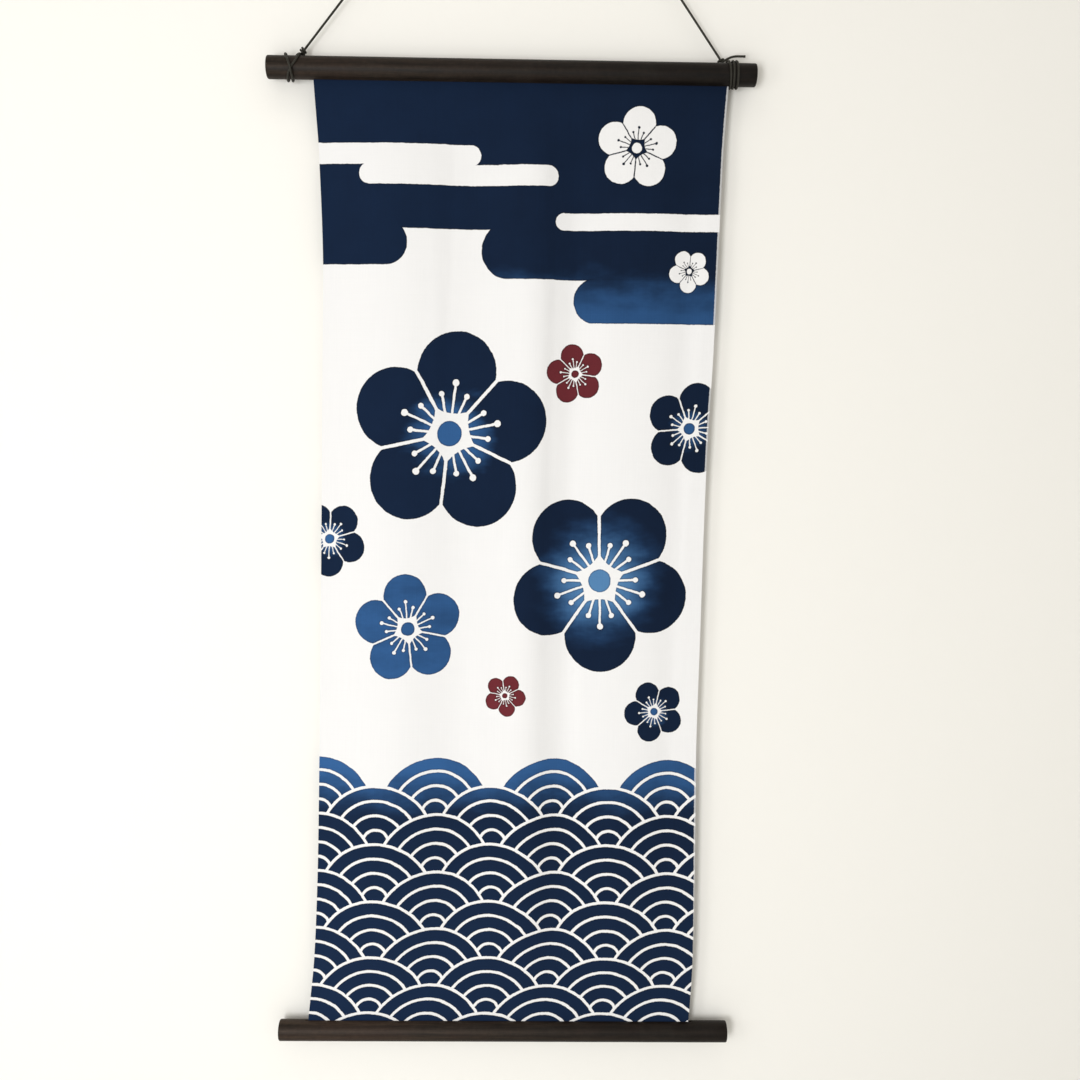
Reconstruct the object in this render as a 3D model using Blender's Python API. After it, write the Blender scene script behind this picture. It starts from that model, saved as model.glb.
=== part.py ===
"""Tenugui towel held between two round wooden bars and hung by one cord.

Units are metres. +X is the viewer's right, +Y points to the wall and +Z is up.
The origin is the point on which the cord hangs.
"""

import math

import bmesh
import bpy
from mathutils import Vector

# Bars
BAR_LENGTH = 0.428
BAR_RADIUS = 0.010
BAR_SIDES = 32
RIM_BEVEL = 0.0012
RIM_BEVEL_STEPS = 2
SHARP_ANGLE = math.radians(40)
TOP_BAR_DROP = 0.253
BAR_SHIFT = -0.0086

# Cloth
CLOTH_WIDTH = 0.364
CLOTH_LENGTH = 0.897
CLOTH_THICKNESS = 0.0012
TUCK = 0.015
TOP_MIDDLE = 0.0082
BOTTOM_MIDDLE = -0.0046
STEPS_ACROSS = 30
STEPS_DOWN = 38
TUCK_STEPS = 2
ROW_CROWDING = 0.08

# Slots in the bars
CLEARANCE = 0.0003
SLOT_WIDTH = CLOTH_THICKNESS + 2 * CLEARANCE
SLOT_DEPTH = TUCK + CLEARANCE
SLOT_SIDE_ROOM = 0.003

# Cord
CORD_RADIUS = 0.001
LAY = BAR_RADIUS + CLEARANCE + CORD_RADIUS
OVER = LAY + 2 * CORD_RADIUS + CLEARANCE
PEG_BEND = 0.003
COIL_RADIUS = 2 * CORD_RADIUS + CLEARANCE
COIL_PITCH = 2 * CORD_RADIUS + CLEARANCE
COIL_STEPS = 10

# Colours, roughness and metallic values
COTTON = ((0.030, 0.065, 0.190, 1.0), 0.85, 0.0)
STAINED_WOOD = ((0.030, 0.022, 0.017, 1.0), 0.45, 0.0)
WAXED_CORD = ((0.018, 0.015, 0.010, 1.0), 0.70, 0.0)

VISIBLE_LENGTH = CLOTH_LENGTH - 2 * TUCK
BOTTOM_BAR_DROP = TOP_BAR_DROP + VISIBLE_LENGTH + 2 * BAR_RADIUS
TOP_BAR = Vector((BAR_SHIFT, 0.0, -TOP_BAR_DROP))
BOTTOM_BAR = Vector((BAR_SHIFT, 0.0, -BOTTOM_BAR_DROP))
CLOTH_TOP = -TOP_BAR_DROP - BAR_RADIUS

# How far each side of the cloth draws in from the straight line between its ends
# down: distance below the upper bar, left and right: draw-in of that side, below zero where it bulges
DRAW_IN = (
    {"down": 0.000, "left": 0.0000, "right": 0.0000},
    {"down": 0.030, "left": 0.0024, "right": 0.0014},
    {"down": 0.060, "left": 0.0047, "right": 0.0025},
    {"down": 0.150, "left": 0.0089, "right": 0.0031},
    {"down": 0.240, "left": 0.0091, "right": 0.0037},
    {"down": 0.300, "left": 0.0091, "right": 0.0052},
    {"down": 0.380, "left": 0.0091, "right": 0.0055},
    {"down": 0.500, "left": 0.0090, "right": 0.0046},
    {"down": 0.590, "left": 0.0087, "right": 0.0040},
    {"down": 0.650, "left": 0.0084, "right": 0.0022},
    {"down": 0.725, "left": 0.0076, "right": 0.0001},
    {"down": 0.805, "left": 0.0051, "right": -0.0015},
    {"down": 0.845, "left": 0.0020, "right": -0.0009},
    {"down": 0.867, "left": 0.0000, "right": 0.0000},
)

# Upright folds, each a soft ridge towards the viewer or a trough towards the wall
# across and drift: share of the width from the left side, at the top and added by the foot
# spread: half width as a share of the cloth, rise: height of the ridge
# top_fade and foot_fade: length over which the fold dies out at the bars
FOLDS = (
    {"across": 0.000, "drift": 0.000, "spread": 0.070, "rise": -0.0030, "top_fade": 0.060, "foot_fade": 0.100},
    {"across": 0.185, "drift": 0.015, "spread": 0.085, "rise": 0.0048, "top_fade": 0.090, "foot_fade": 0.120},
    {"across": 0.365, "drift": -0.010, "spread": 0.060, "rise": -0.0034, "top_fade": 0.070, "foot_fade": 0.080},
    {"across": 0.530, "drift": 0.020, "spread": 0.050, "rise": 0.0056, "top_fade": 0.060, "foot_fade": 0.110},
    {"across": 0.640, "drift": 0.010, "spread": 0.042, "rise": -0.0046, "top_fade": 0.080, "foot_fade": 0.140},
    {"across": 0.835, "drift": -0.015, "spread": 0.080, "rise": 0.0038, "top_fade": 0.110, "foot_fade": 0.090},
    {"across": 0.930, "drift": 0.005, "spread": 0.028, "rise": -0.0016, "top_fade": 0.050, "foot_fade": 0.130},
    {"across": 1.000, "drift": 0.000, "spread": 0.035, "rise": 0.0014, "top_fade": 0.080, "foot_fade": 0.100},
)

# Lashing round the bar's left end, from the leg's foot to the knot
# turn: degrees round the bar from its top over the front, across: from the bar's middle
# reach: from the bar's axis to the cord's centre line
LEFT_LASHING = (
    {"turn": -12, "across": -0.1856, "reach": LAY + 0.0005},
    {"turn": 11, "across": -0.1855, "reach": LAY},
    {"turn": 34, "across": -0.1856, "reach": LAY},
    {"turn": 57, "across": -0.1863, "reach": LAY},
    {"turn": 80, "across": -0.1884, "reach": LAY},
    {"turn": 103, "across": -0.1917, "reach": LAY},
    {"turn": 126, "across": -0.1940, "reach": LAY},
    {"turn": 149, "across": -0.1951, "reach": LAY},
    {"turn": 180, "across": -0.1959, "reach": LAY},
    {"turn": 270, "across": -0.1968, "reach": LAY},
    {"turn": 360, "across": -0.1975, "reach": LAY},
    {"turn": 390, "across": -0.1972, "reach": LAY},
    {"turn": 416, "across": -0.1958, "reach": LAY + 0.0005},
    {"turn": 438, "across": -0.1938, "reach": OVER - 0.0002},
    {"turn": 460, "across": -0.1919, "reach": OVER + 0.0004},
    {"turn": 482, "across": -0.1911, "reach": OVER - 0.0001},
    {"turn": 508, "across": -0.1911, "reach": LAY + 0.0004},
    {"turn": 540, "across": -0.1919, "reach": LAY},
    {"turn": 630, "across": -0.1926, "reach": LAY},
    {"turn": 658, "across": -0.1923, "reach": LAY},
)
LEFT_RETURN = (
    {"turn": 681, "across": -0.1910, "reach": 0.0123},
    {"turn": 690, "across": -0.1893, "reach": 0.0141},
    {"turn": 695, "across": -0.1871, "reach": 0.0150},
)

# Lashing round the right end, and the stretch that lies over its turns on its way back
RIGHT_LASHING = (
    {"turn": -28, "across": 0.1873, "reach": LAY + 0.0001},
    {"turn": 2, "across": 0.1884, "reach": LAY},
    {"turn": 40, "across": 0.1894, "reach": LAY},
    {"turn": 90, "across": 0.1903, "reach": LAY},
    {"turn": 180, "across": 0.1914, "reach": LAY},
    {"turn": 360, "across": 0.1929, "reach": LAY},
    {"turn": 450, "across": 0.1932, "reach": LAY},
    {"turn": 540, "across": 0.1939, "reach": LAY},
    {"turn": 720, "across": 0.1959, "reach": LAY},
    {"turn": 810, "across": 0.1967, "reach": LAY},
    {"turn": 947, "across": 0.1973, "reach": LAY},
)
RIGHT_RETURN = (
    {"turn": 963, "across": 0.1976, "reach": LAY + 0.0005},
    {"turn": 978, "across": 0.1972, "reach": OVER - 0.0008},
    {"turn": 990, "across": 0.1961, "reach": OVER + 0.0001},
    {"turn": 999, "across": 0.1945, "reach": OVER + 0.0001},
    {"turn": 1005, "across": 0.1926, "reach": OVER + 0.0001},
    {"turn": 1010, "across": 0.1910, "reach": OVER + 0.0004},
    {"turn": 1017, "across": 0.1897, "reach": 0.0147},
    {"turn": 1026, "across": 0.1885, "reach": 0.0166},
    {"turn": 1037, "across": 0.1864, "reach": 0.0184},
    {"turn": 1044, "across": 0.1846, "reach": 0.0190},
)

# The free tail past the right knot, from the bar's middle and axis
TAIL = (
    {"across": 0.1875, "back": 0.0021, "up": 0.0133},
    {"across": 0.1900, "back": 0.0023, "up": 0.0147},
    {"across": 0.1930, "back": 0.0034, "up": 0.0161},
    {"across": 0.1965, "back": 0.0038, "up": 0.0168},
    {"across": 0.2003, "back": 0.0038, "up": 0.0169},
    {"across": 0.2048, "back": 0.0036, "up": 0.0168},
)

# Lower ends of the straight legs, and the knots' turns round them
LEFT_LEG_FOOT = Vector((-0.1845, 0.0036, 0.0129))
RIGHT_LEG_FOOT = Vector((0.1850, 0.0064, 0.0120))
LEFT_COIL_TURNS = 1.75
RIGHT_COIL_TURNS = 1.4
LASHING_STEP = 23
PEG_STEPS = 4


def clear_scene():
    for item in list(bpy.data.objects):
        bpy.data.objects.remove(item, do_unlink=True)


def plain_material(name, look):
    colour, roughness, metallic = look
    material = bpy.data.materials.new(name)
    material.use_nodes = True
    shader = material.node_tree.nodes["Principled BSDF"]
    shader.inputs["Base Color"].default_value = colour
    shader.inputs["Roughness"].default_value = roughness
    shader.inputs["Metallic"].default_value = metallic
    return material


def add_object(name, data, material):
    piece = bpy.data.objects.new(name, data)
    bpy.context.collection.objects.link(piece)
    if material is not None:
        data.materials.append(material)
    return piece


def smooth_between(rows, key, column, at):
    """Read a column of a table at any place, on a smooth curve through its rows."""
    last = len(rows) - 1
    step = 0
    while step < last - 1 and rows[step + 1][key] < at:
        step += 1

    def slope(index):
        low = rows[max(index - 1, 0)]
        high = rows[min(index + 1, last)]
        return (high[column] - low[column]) / (high[key] - low[key])

    start, end = rows[step], rows[step + 1]
    span = end[key] - start[key]
    t = min(max((at - start[key]) / span, 0.0), 1.0)
    rise = slope(step) * span * t * (1 - t) ** 2
    fall = slope(step + 1) * span * t * t * (1 - t)
    ease = t * t * (3 - 2 * t)
    return start[column] + (end[column] - start[column]) * ease + rise - fall


def fade(distance, length):
    """Grow smoothly from 0 at a bar to 1 once the cloth hangs free of it."""
    t = min(max(distance / length, 0.0), 1.0)
    return t * t * (3 - 2 * t)


def fold_depth(across, down):
    """How far the cloth stands towards the viewer, summed over its folds."""
    depth = 0.0
    for fold in FOLDS:
        middle = fold["across"] + fold["drift"] * down / VISIBLE_LENGTH
        bell = math.exp(-0.5 * ((across - middle) / fold["spread"]) ** 2)
        top = fade(down, fold["top_fade"])
        foot = fade(VISIBLE_LENGTH - down, fold["foot_fade"])
        depth += fold["rise"] * bell * top * foot
    return depth


def cloth_point(across, down):
    """Place of a point of the cloth, from its share of the width and its distance down."""
    share = min(max(down / VISIBLE_LENGTH, 0.0), 1.0)
    middle = BAR_SHIFT + TOP_MIDDLE + (BOTTOM_MIDDLE - TOP_MIDDLE) * share
    hung = share * VISIBLE_LENGTH
    left = middle - CLOTH_WIDTH / 2 + smooth_between(DRAW_IN, "down", "left", hung)
    right = middle + CLOTH_WIDTH / 2 - smooth_between(DRAW_IN, "down", "right", hung)
    return Vector((left + (right - left) * across, -fold_depth(across, hung), CLOTH_TOP - down))


def rows_down():
    """Distances down the cloth, from its upper end to its lower one, closest near the bars."""
    rows = [TUCK * (step / TUCK_STEPS - 1.0) for step in range(TUCK_STEPS)]
    for step in range(STEPS_DOWN + 1):
        t = step / STEPS_DOWN
        rows.append(VISIBLE_LENGTH * (t - ROW_CROWDING * math.sin(2 * math.pi * t)))
    rows += [VISIBLE_LENGTH + TUCK * (step + 1) / TUCK_STEPS for step in range(TUCK_STEPS)]
    return rows


def make_cloth():
    rows = rows_down()
    mesh = bpy.data.meshes.new("cloth")
    shape = bmesh.new()
    bmesh.ops.create_grid(shape, x_segments=STEPS_ACROSS, y_segments=len(rows) - 1, size=0.5)
    for point in shape.verts:
        row = round((0.5 - point.co.y) * (len(rows) - 1))
        point.co = cloth_point(point.co.x + 0.5, rows[row])
    for face in shape.faces:
        face.smooth = True
    shape.to_mesh(mesh)
    shape.free()
    cloth = add_object("cloth", mesh, plain_material("cotton", COTTON))
    wall = cloth.modifiers.new("thickness", "SOLIDIFY")
    wall.thickness = CLOTH_THICKNESS
    wall.offset = 0.0
    wall.use_even_offset = True
    return cloth


def make_slot_cutter(name, bar, middle, side):
    """Box that cuts the slot; side is -1 for a slot in the underside and +1 for one on top."""
    mesh = bpy.data.meshes.new(name)
    shape = bmesh.new()
    bmesh.ops.create_cube(shape, size=1.0)
    length = CLOTH_WIDTH + 2 * SLOT_SIDE_ROOM
    height = 2 * SLOT_DEPTH
    for point in shape.verts:
        point.co.x *= length
        point.co.y *= SLOT_WIDTH
        point.co.z = point.co.z * height + side * BAR_RADIUS
    shape.to_mesh(mesh)
    shape.free()
    cutter = add_object(name, mesh, None)
    cutter.location = bar + Vector((middle, 0.0, 0.0))
    cutter.hide_render = True
    cutter.display_type = "WIRE"
    return cutter


def make_bar(name, place, material, cutter):
    mesh = bpy.data.meshes.new(name)
    shape = bmesh.new()
    bmesh.ops.create_cone(
        shape, cap_ends=True, segments=BAR_SIDES, radius1=BAR_RADIUS, radius2=BAR_RADIUS, depth=BAR_LENGTH
    )
    rims = [edge for edge in shape.edges if abs(edge.verts[0].co.z - edge.verts[1].co.z) < CLEARANCE]
    bmesh.ops.bevel(shape, geom=rims, offset=RIM_BEVEL, segments=RIM_BEVEL_STEPS, profile=0.5, affect="EDGES")
    shape.to_mesh(mesh)
    shape.free()
    mesh.shade_smooth()
    mesh.set_sharp_from_angle(angle=SHARP_ANGLE)
    bar = add_object(name, mesh, material)
    bar.location = place
    bar.rotation_euler = (0.0, math.pi / 2, 0.0)
    cut = bar.modifiers.new("slot", "BOOLEAN")
    cut.operation = "DIFFERENCE"
    cut.solver = "EXACT"
    cut.object = cutter
    return bar


def on_bar(turn, across, reach):
    """A point round the upper bar, from its middle and axis."""
    angle = math.radians(turn)
    return Vector((across, -reach * math.sin(angle), reach * math.cos(angle)))


def coil(start, along, first, second, turns):
    """Turns of the cord round its own leg, from the side `first` towards the side `second`."""
    points = []
    count = round(turns * COIL_STEPS)
    for step in range(count + 1):
        turn = step / COIL_STEPS
        angle = 2 * math.pi * turn
        side = first * math.cos(angle) + second * math.sin(angle)
        points.append(start + along * (COIL_PITCH * turn) + side * COIL_RADIUS)
    return points


def lashing(rows):
    """Points round the upper bar, read from a lashing's table at even steps of its turn."""
    first, last = rows[0]["turn"], rows[-1]["turn"]
    steps = math.ceil((last - first) / LASHING_STEP)
    points = []
    for step in range(steps + 1):
        turn = first + (last - first) * step / steps
        across = smooth_between(rows, "turn", "across", turn)
        reach = smooth_between(rows, "turn", "reach", turn)
        points.append(TOP_BAR + on_bar(turn, across, reach))
    return points


def return_points(rows):
    return [TOP_BAR + on_bar(row["turn"], row["across"], row["reach"]) for row in rows]


def tail_points():
    return [TOP_BAR + Vector((row["across"], row["back"], row["up"])) for row in TAIL]


def peg_arc(left_way, right_way):
    """The cord's bend over the peg, from the left leg's direction to the right leg's."""
    centre = Vector((0.0, 0.0, CORD_RADIUS - PEG_BEND))
    left_angle = math.atan2(left_way.z, left_way.x) + math.pi / 2
    right_angle = math.atan2(right_way.z, right_way.x) - math.pi / 2
    points = []
    for step in range(PEG_STEPS + 1):
        angle = left_angle + (right_angle - left_angle) * step / PEG_STEPS
        points.append(centre + Vector((math.cos(angle), 0.0, math.sin(angle))) * PEG_BEND)
    return points


def cord_route():
    """The cord's centre line, from its hidden end on the left to the free tail on the right."""
    left_foot = TOP_BAR + LEFT_LEG_FOOT
    right_foot = TOP_BAR + RIGHT_LEG_FOOT
    left_way = -left_foot.normalized()
    right_way = -right_foot.normalized()
    back = Vector((0.0, 1.0, 0.0))

    left_coil = coil(left_foot, left_way, back, back.cross(left_way), LEFT_COIL_TURNS)
    left_end = [left_foot] + lashing(LEFT_LASHING) + return_points(LEFT_RETURN) + left_coil

    knot_top = right_foot + right_way * (COIL_PITCH * RIGHT_COIL_TURNS)
    right_coil = coil(knot_top, -right_way, back, right_way.cross(back), RIGHT_COIL_TURNS)
    right_end = [right_foot] + lashing(RIGHT_LASHING) + return_points(RIGHT_RETURN) + right_coil + tail_points()

    return list(reversed(left_end)) + peg_arc(left_way, right_way) + right_end


def make_cord():
    data = bpy.data.curves.new("hanging_cord", "CURVE")
    data.dimensions = "3D"
    data.bevel_depth = CORD_RADIUS
    data.bevel_resolution = 2
    data.use_fill_caps = True
    route = cord_route()
    line = data.splines.new("POLY")
    line.points.add(len(route) - 1)
    for point, place in zip(line.points, route):
        point.co = (place.x, place.y, place.z, 1.0)
    return add_object("hanging_cord", data, plain_material("waxed_cord", WAXED_CORD))


def main():
    clear_scene()
    make_cloth()
    wood = plain_material("stained_wood", STAINED_WOOD)
    top_cutter = make_slot_cutter("top_slot", TOP_BAR, TOP_MIDDLE, -1)
    bottom_cutter = make_slot_cutter("bottom_slot", BOTTOM_BAR, BOTTOM_MIDDLE, 1)
    make_bar("top_bar", TOP_BAR, wood, top_cutter)
    make_bar("bottom_bar", BOTTOM_BAR, wood, bottom_cutter)
    make_cord()


main()
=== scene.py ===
"""Dresses the tenugui towel, its two stained bars and its hanging cord, and sets the stage.

Units are metres. +X is the viewer's right, +Y points to the wall and +Z is up.
The origin is the point on which the cord hangs.
"""

import math

import bpy
from bpy.props import FloatProperty, FloatVectorProperty, IntProperty, PointerProperty
from mathutils import Matrix, Vector, noise


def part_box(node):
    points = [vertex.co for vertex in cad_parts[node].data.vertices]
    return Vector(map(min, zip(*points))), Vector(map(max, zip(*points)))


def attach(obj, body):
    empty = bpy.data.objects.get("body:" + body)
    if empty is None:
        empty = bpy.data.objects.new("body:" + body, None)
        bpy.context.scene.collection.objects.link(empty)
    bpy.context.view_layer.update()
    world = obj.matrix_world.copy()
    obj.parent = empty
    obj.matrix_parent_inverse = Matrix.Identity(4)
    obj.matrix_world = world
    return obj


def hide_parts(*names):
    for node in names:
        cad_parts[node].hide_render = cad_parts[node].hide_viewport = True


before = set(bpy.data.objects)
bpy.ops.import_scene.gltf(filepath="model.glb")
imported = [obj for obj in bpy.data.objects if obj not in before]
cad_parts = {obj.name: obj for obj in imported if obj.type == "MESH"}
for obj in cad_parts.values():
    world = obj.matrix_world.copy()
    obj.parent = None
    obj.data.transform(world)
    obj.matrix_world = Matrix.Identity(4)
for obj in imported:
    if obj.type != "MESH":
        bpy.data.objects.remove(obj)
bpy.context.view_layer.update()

bl_info = {
    "name": "Tenugui towel on bars",
    "version": (1, 0, 0),
    "blender": (4, 5, 0),
    "location": "3D View > Sidebar > Tenugui",
    "description": "Builds a dyed cotton towel held between two stained bars and hung by a cord",
    "category": "Add Mesh",
}



def table(columns, *rows):
    """Rows of values, each read by the names of its columns."""
    return tuple(dict(zip(columns, row)) for row in rows)


BODY = "root"
MILLIMETRE = 0.001

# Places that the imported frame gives
TOP_LOW, TOP_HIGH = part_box("top_bar")
BOTTOM_LOW, BOTTOM_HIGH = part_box("bottom_bar")
CLOTH_LOW, CLOTH_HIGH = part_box("cloth")
TOP_BAR = (TOP_LOW + TOP_HIGH) / 2
BOTTOM_BAR = (BOTTOM_LOW + BOTTOM_HIGH) / 2
BAR_LENGTH = TOP_HIGH.x - TOP_LOW.x
BAR_RADIUS = (TOP_HIGH.z - TOP_LOW.z) / 2
CLOTH_TOP = TOP_BAR.z - BAR_RADIUS
CLOTH_LENGTH = CLOTH_HIGH.z - CLOTH_LOW.z
TUCK = CLOTH_HIGH.z - CLOTH_TOP
VISIBLE_LENGTH = CLOTH_LENGTH - 2 * TUCK

# Gap that the slots, the lashings and the coils are laid out with
CLEARANCE = 0.0003

# Cloth, as cut, and where its ends lie from the bars' middle
CLOTH_WIDTH = 0.364
TOP_MIDDLE = 0.0082
BOTTOM_MIDDLE = -0.0046
STEPS_ACROSS = 146
STEPS_DOWN = 300
# Length next to a bar in which the fine creases die out
HELD_LENGTH = 0.02

# Slots in the bars, and the cuts across a bar that its unevenness needs
SLOT_WIDTH = 0.0014
SLOT_DEPTH = TUCK + CLEARANCE
SLOT_LENGTH = CLOTH_WIDTH + 0.006
ROD_CUTS = 56

# Cord
CORD_RADIUS = 0.001
LAY = BAR_RADIUS + CLEARANCE + CORD_RADIUS
OVER = LAY + 2 * CORD_RADIUS + CLEARANCE
PEG_BEND = 0.003
COIL_RADIUS = 2 * CORD_RADIUS + CLEARANCE
COIL_PITCH = 2 * CORD_RADIUS + CLEARANCE
COIL_STEPS = 10
LASHING_STEP = 23
PEG_STEPS = 4
STRAIGHT_STEP = 0.006
# The cut end of the tail: its length, and the share by which it is thicker
CUT_END = 0.0022
CUT_END_SWELL = 0.16
CORD_LUMPS = 0.025
PLY_LENGTH = 1.6 * MILLIMETRE
PLIES_ROUND = 6.0

# How far each side of the cloth draws in from the straight line between its ends
# down: distance below the upper bar, left and right: draw-in of that side, below zero where it bulges
DRAW_IN = table(
    ("down", "left", "right"),
    (0.000, 0.0000, 0.0000),
    (0.030, 0.0024, 0.0014),
    (0.060, 0.0047, 0.0025),
    (0.150, 0.0089, 0.0031),
    (0.240, 0.0091, 0.0037),
    (0.300, 0.0091, 0.0052),
    (0.380, 0.0091, 0.0055),
    (0.500, 0.0090, 0.0046),
    (0.590, 0.0087, 0.0040),
    (0.650, 0.0084, 0.0022),
    (0.725, 0.0076, 0.0001),
    (0.805, 0.0051, -0.0015),
    (0.845, 0.0020, -0.0009),
    (0.867, 0.0000, 0.0000),
)

# Upright folds, each a soft ridge towards the viewer or a trough towards the wall
# across and drift: share of the width from the left side, at the top and added by the foot
# spread: half width as a share of the cloth, rise: height of the ridge
# top and foot: length over which the fold dies out at the upper and at the lower bar
FOLDS = table(
    ("across", "drift", "spread", "rise", "top", "foot"),
    (0.000, 0.000, 0.070, -0.0030, 0.060, 0.100),
    (0.185, 0.015, 0.085, 0.0048, 0.090, 0.120),
    (0.365, -0.010, 0.060, -0.0034, 0.070, 0.080),
    (0.530, 0.020, 0.050, 0.0056, 0.060, 0.110),
    (0.640, 0.010, 0.042, -0.0046, 0.080, 0.140),
    (0.835, -0.015, 0.080, 0.0038, 0.110, 0.090),
    (0.930, 0.005, 0.028, -0.0016, 0.050, 0.130),
    (1.000, 0.000, 0.035, 0.0014, 0.080, 0.100),
)

# Fine creases between the folds, middle: where down the cloth a crease is deepest
# reach: how far it runs from there, lean: share of the width that it moves by in that reach
CREASES = table(
    ("across", "lean", "spread", "rise", "middle", "reach"),
    (0.060, 0.020, 0.012, 0.0004, 0.070, 0.060),
    (0.140, -0.015, 0.016, -0.0005, 0.790, 0.070),
    (0.290, 0.010, 0.014, 0.0005, 0.220, 0.150),
    (0.330, -0.008, 0.011, -0.0005, 0.100, 0.090),
    (0.430, 0.012, 0.014, 0.0005, 0.660, 0.130),
    (0.480, -0.010, 0.010, -0.0004, 0.330, 0.120),
    (0.590, 0.006, 0.012, -0.0007, 0.280, 0.220),
    (0.690, 0.010, 0.013, 0.0006, 0.560, 0.160),
    (0.760, -0.020, 0.016, 0.0005, 0.120, 0.080),
    (0.880, 0.030, 0.018, -0.0007, 0.800, 0.060),
    (0.955, -0.010, 0.010, 0.0005, 0.420, 0.200),
)

# Lashing round the bar's left end, from the leg's foot to the knot
# turn: degrees round the bar from its top over the front, across: from the bar's middle
# reach: from the bar's axis to the cord's centre line
LEFT_LASHING = table(
    ("turn", "across", "reach"),
    (-12, -0.1856, LAY + 0.0005),
    (11, -0.1855, LAY),
    (34, -0.1856, LAY),
    (57, -0.1863, LAY),
    (80, -0.1884, LAY),
    (103, -0.1917, LAY),
    (126, -0.1940, LAY),
    (149, -0.1951, LAY),
    (180, -0.1959, LAY),
    (270, -0.1968, LAY),
    (360, -0.1975, LAY),
    (390, -0.1972, LAY),
    (416, -0.1958, LAY + 0.0005),
    (438, -0.1938, OVER - 0.0002),
    (460, -0.1919, OVER + 0.0004),
    (482, -0.1911, OVER - 0.0001),
    (508, -0.1911, LAY + 0.0004),
    (540, -0.1919, LAY),
    (630, -0.1926, LAY),
    (658, -0.1923, LAY),
)
LEFT_RETURN = table(
    ("turn", "across", "reach"),
    (681, -0.1910, 0.0123),
    (690, -0.1893, 0.0141),
    (695, -0.1871, 0.0150),
)

# Lashing round the right end, and the stretch that lies over its turns on its way back
RIGHT_LASHING = table(
    ("turn", "across", "reach"),
    (-28, 0.1873, LAY + 0.0001),
    (2, 0.1884, LAY),
    (40, 0.1894, LAY),
    (90, 0.1903, LAY),
    (180, 0.1914, LAY),
    (360, 0.1929, LAY),
    (450, 0.1932, LAY),
    (540, 0.1939, LAY),
    (720, 0.1959, LAY),
    (810, 0.1967, LAY),
    (947, 0.1973, LAY),
)
RIGHT_RETURN = table(
    ("turn", "across", "reach"),
    (963, 0.1976, LAY + 0.0005),
    (978, 0.1972, OVER - 0.0008),
    (990, 0.1961, OVER + 0.0001),
    (999, 0.1945, OVER + 0.0001),
    (1005, 0.1926, OVER + 0.0001),
    (1010, 0.1910, OVER + 0.0004),
    (1017, 0.1897, 0.0147),
    (1026, 0.1885, 0.0166),
    (1037, 0.1864, 0.0184),
    (1044, 0.1846, 0.0190),
)

# The free tail past the right knot, from the bar's middle and axis
TAIL = table(
    ("across", "back", "up"),
    (0.1875, 0.0021, 0.0133),
    (0.1900, 0.0023, 0.0147),
    (0.1930, 0.0034, 0.0161),
    (0.1965, 0.0038, 0.0168),
    (0.2003, 0.0038, 0.0169),
    (0.2048, 0.0036, 0.0168),
)
LEFT_LEG_FOOT = Vector((-0.1845, 0.0036, 0.0129))
RIGHT_LEG_FOOT = Vector((0.1850, 0.0064, 0.0120))
LEFT_COIL_TURNS = 1.75
RIGHT_COIL_TURNS = 1.4

# The dyed design, in millimetres: across from the cloth's left side, down from the upper bar
SKY_FOOT = 126.0
# Bands of mist, from and to: their ends, level: height of the middle, half: half their height
DARK_MIST = table(
    ("from", "to", "level", "half"),
    (146.0, 480.0, 144.0, 25.0),
    (232.0, 480.0, 187.0, 20.0),
    (-110.0, 78.0, 138.0, 20.0),
)
PALE_MIST = table(
    ("from", "to", "level", "half"),
    (-110.0, 146.0, 62.0, 9.0),
    (36.0, 216.0, 79.0, 9.0),
    (214.0, 480.0, 118.0, 7.5),
)
# Plum blossoms, turn in degrees, dye: which bath they were dyed in, white: left undyed
BLOSSOMS = table(
    ("across", "down", "radius", "turn", "dye"),
    (286.0, 54.0, 36.0, 14.0, "white"),
    (338.0, 160.0, 19.0, -22.0, "white"),
    (120.0, 307.0, 92.0, 12.0, "navy"),
    (266.0, 440.0, 85.0, -16.0, "shaded"),
    (236.0, 252.0, 27.0, 30.0, "red"),
    (346.0, 300.0, 42.0, 5.0, "navy"),
    (178.0, 548.0, 20.0, -8.0, "red"),
    (84.0, 486.0, 51.0, 24.0, "mid"),
    (322.0, 562.0, 29.0, 41.0, "navy"),
    (8.0, 404.0, 35.0, -20.0, "navy"),
)
WAVE_TOP = 606.0
WAVE_RADIUS = 56.0
WAVE_RINGS = 4
WAVE_LINE = 2.7
# Undyed selvedge on the right: its width and the place down the cloth from which it narrows
SELVEDGE = 1.7
SELVEDGE_FADE = 640.0
# Down the cloth: where the mist's lowest band turns mid blue, from start to end, and where it stops
MIST_SHADE = (156.0, 204.0)
MIST_FOOT = 208.0
# Depth of the waves' shaded top, and the place down the cloth from which the dye fades
WAVE_SHADE = (4.0, 62.0)
DYE_FADE = 420.0

# Colours that lie in patches on the bars and the cord
PATCH_STAIN = (0.018, 0.0095, 0.0065)
BAR_DUST = (0.20, 0.18, 0.15)
CORD_DUST = (0.20, 0.19, 0.15)

# Bars, middle: where the cloth's end lies, seed: the start of the bar's own unevenness
# side: -1 where the slot is underneath and 1 where it is on top
BARS = table(
    ("name", "node", "place", "middle", "side", "seed"),
    ("upper_bar", "top_bar", TOP_BAR, TOP_MIDDLE, -1, 3.7),
    ("lower_bar", "bottom_bar", BOTTOM_BAR, BOTTOM_MIDDLE, 1, 9.2),
)

# Camera, from a fit to the bars' ends, the cloth's corners and the cord
LENS = 40.0
SENSOR = 36.0
CAMERA_PLACE = Vector((0.0015, -1.091, -0.5417))
CAMERA_TILT = math.radians(6.496)
CAMERA_YAW = math.radians(1.005)
CAMERA_ROLL = math.radians(0.708)

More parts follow.
